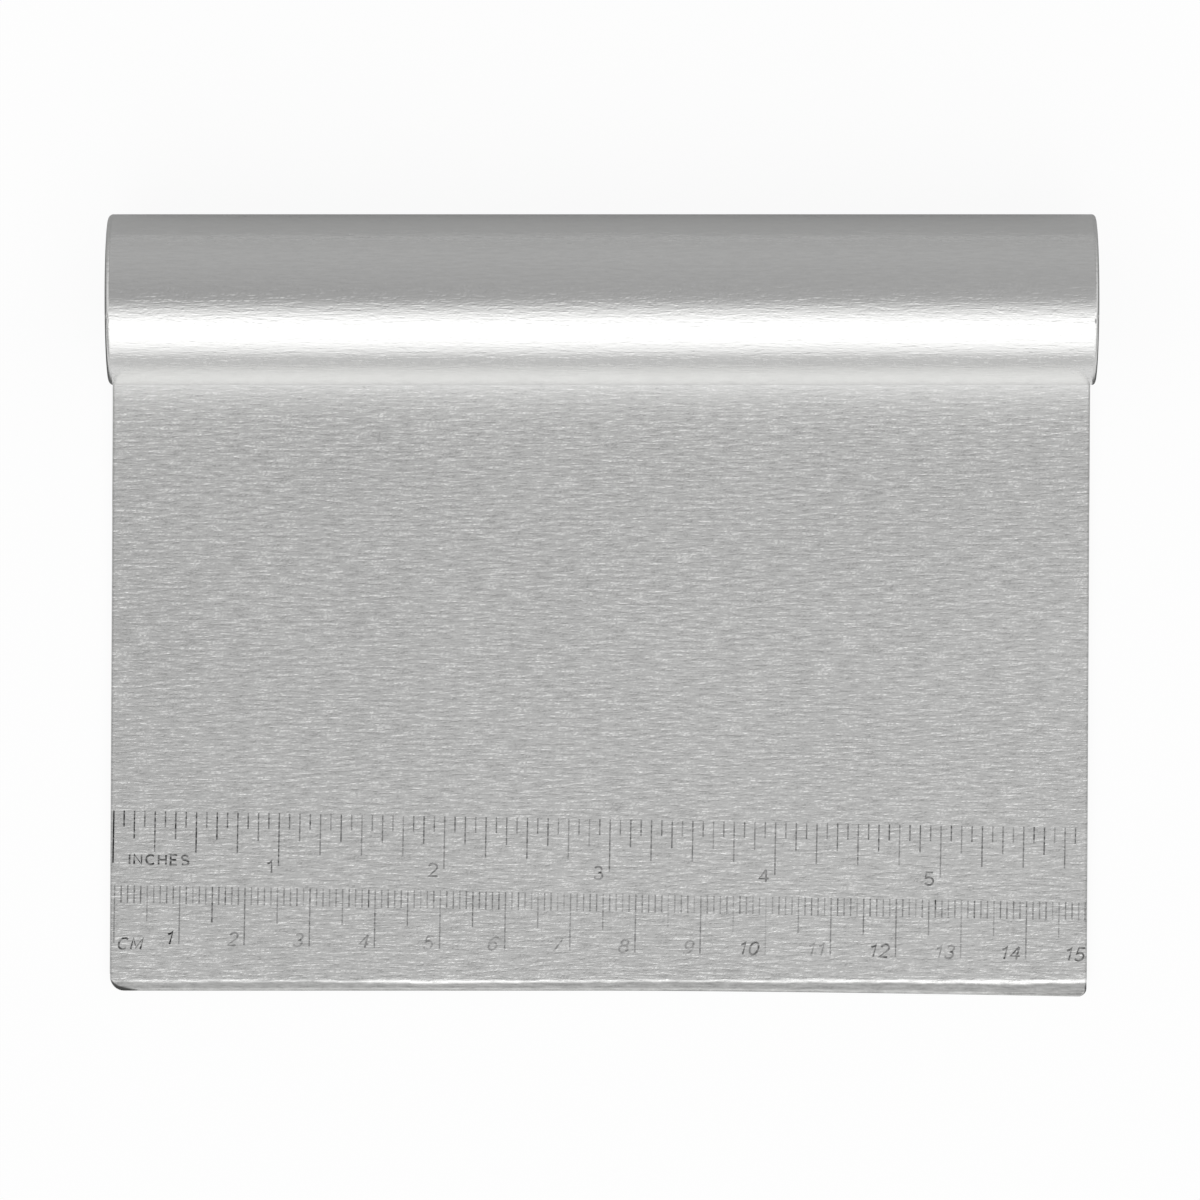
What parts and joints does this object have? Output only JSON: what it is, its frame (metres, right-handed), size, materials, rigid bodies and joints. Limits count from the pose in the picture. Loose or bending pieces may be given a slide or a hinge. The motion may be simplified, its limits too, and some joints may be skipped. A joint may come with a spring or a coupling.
{
  "type": "dough scraper",
  "caption": "Flat brushed steel dough scraper: wide rectangular blade with a bevelled scraping edge, spot-welded into a round hollow handle along its top with capped ends.",
  "frame": {"origin": "on the flat back of the scraper, under the middle of its outline, as it lies on a table", "axes": "+X along the handle, +Y from the scraping edge to the handle, +Z from the flat back up to the face"},
  "size_m": [0.1506, 0.119, 0.026],
  "materials": {
    "blade_steel": "brushed along the blade's width",
    "handle_steel": "finely brushed along the tube",
    "cap_steel": "satin, rim buffed round",
    "weld_steel": "dull weld metal"
  },
  "bodies": {
    "root": {"blade": "blade_steel", "handle_tube": "handle_steel", "left_end_cap": "cap_steel", "right_end_cap": "cap_steel", "spot_weld_1": "weld_steel", "spot_weld_2": "weld_steel", "spot_weld_3": "weld_steel", "spot_weld_4": "weld_steel", "spot_weld_5": "weld_steel"}
  },
  "joints": []
}
